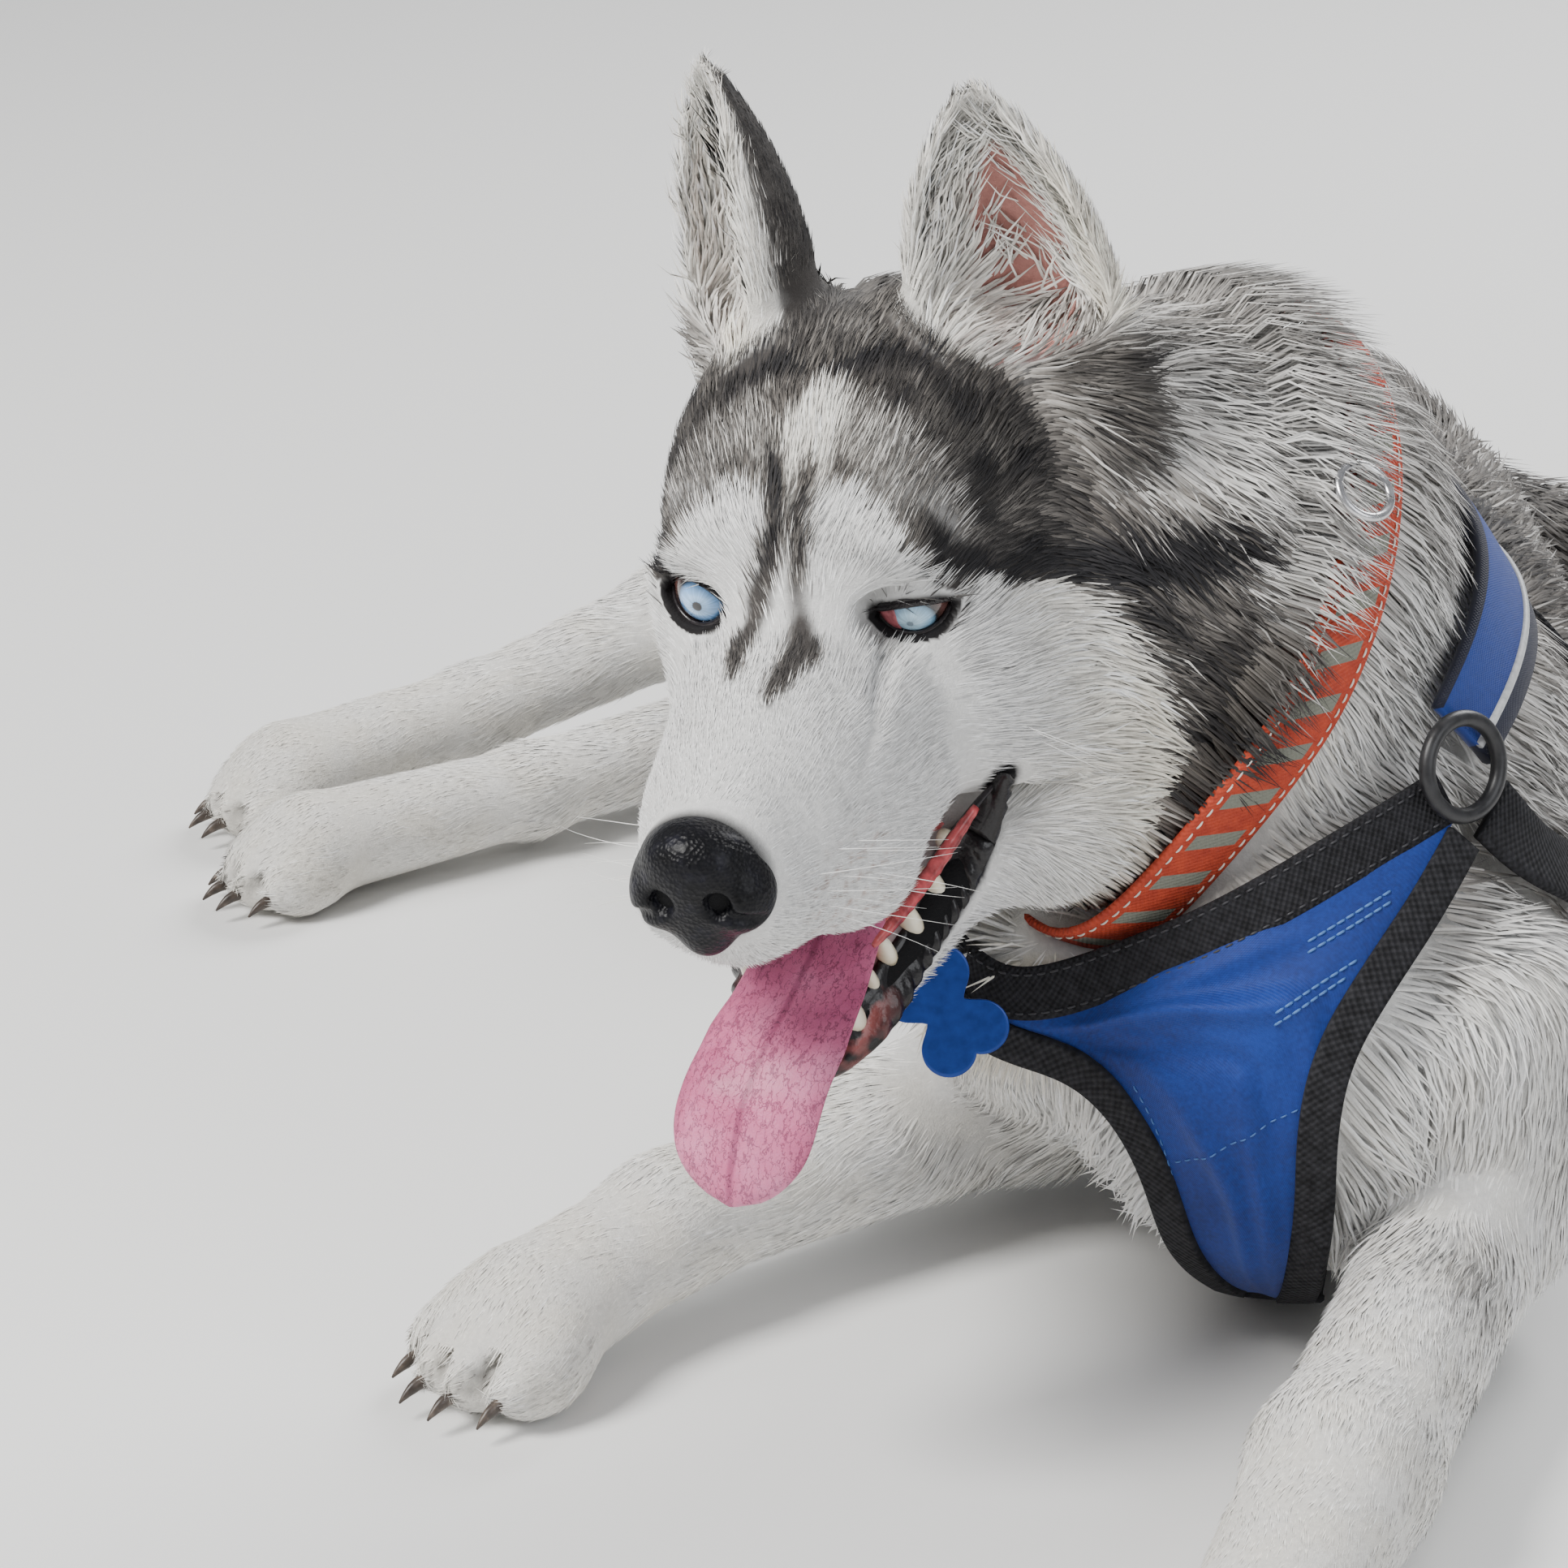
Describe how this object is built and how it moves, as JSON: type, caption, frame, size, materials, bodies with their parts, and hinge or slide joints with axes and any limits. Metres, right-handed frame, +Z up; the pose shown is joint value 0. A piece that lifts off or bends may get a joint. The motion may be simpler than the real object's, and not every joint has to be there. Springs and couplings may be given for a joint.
{
  "type": "siberian husky model",
  "caption": "Life-size still model of a lying Siberian husky with its mouth open and tongue out, wearing a collar with a blank tag and a chest harness.",
  "frame": {"origin": "centre of the bounding box's footprint, on the floor plane the animal lies on", "axes": "+Z up, the animal faces -Y, its own left side is +X"},
  "size_m": [0.7024, 0.9316, 0.4081],
  "materials": {
    "coat_white": "short cream-white fur",
    "coat_grey": "grey and black banded fur",
    "nose_pad": "black moist nose leather",
    "tongue_skin": "wet pink tongue",
    "eye_glass": "pale ice-blue glass eye, clear-coated",
    "claw_horn": "dark horn",
    "webbing_black": "black woven webbing",
    "fabric_blue": "royal-blue coated fabric",
    "webbing_orange": "orange-red webbing with plain grey bars and a dashed stitch",
    "ring_steel": "polished steel ring",
    "tag_blue": "blue anodised blank tag"
  },
  "bodies": {
    "root": {"claw_foreleg_left_1": "claw_horn", "claw_foreleg_left_2": "claw_horn", "claw_foreleg_left_3": "claw_horn", "claw_foreleg_left_4": "claw_horn", "claw_foreleg_right_1": "claw_horn", "claw_foreleg_right_2": "claw_horn", "claw_foreleg_right_3": "claw_horn", "claw_foreleg_right_4": "claw_horn", "claw_hindleg_left_1": "claw_horn", "claw_hindleg_left_2": "claw_horn", "claw_hindleg_left_3": "claw_horn", "claw_hindleg_left_4": "claw_horn", "claw_hindleg_right_1": "claw_horn", "claw_hindleg_right_2": "claw_horn", "claw_hindleg_right_3": "claw_horn", "claw_hindleg_right_4": "claw_horn", "collar": "webbing_orange", "collar_ring": "ring_steel", "ear_left": "coat_grey", "ear_right": "coat_grey", "eye_left": "eye_glass", "eye_right": "eye_glass", "foreleg_left": "coat_white", "foreleg_right": "coat_white", "harness_back_strap": "fabric_blue", "harness_belly_strap": "fabric_blue", "harness_edge_left": "webbing_black", "harness_edge_right": "webbing_black", "harness_girth": "webbing_black", "harness_loop": "webbing_black", "harness_neck_band": "webbing_black", "harness_panel": "fabric_blue", "harness_side_strap": "fabric_blue", "harness_yoke": "fabric_blue", "head": "coat_grey", "hindleg_left": "coat_white", "hindleg_right": "coat_white", "lower_jaw": "coat_white", "neck": "coat_grey", "nose": "nose_pad", "tag": "tag_blue", "tail": "coat_grey", "tongue": "tongue_skin", "trunk": "coat_grey"}
  },
  "joints": []
}
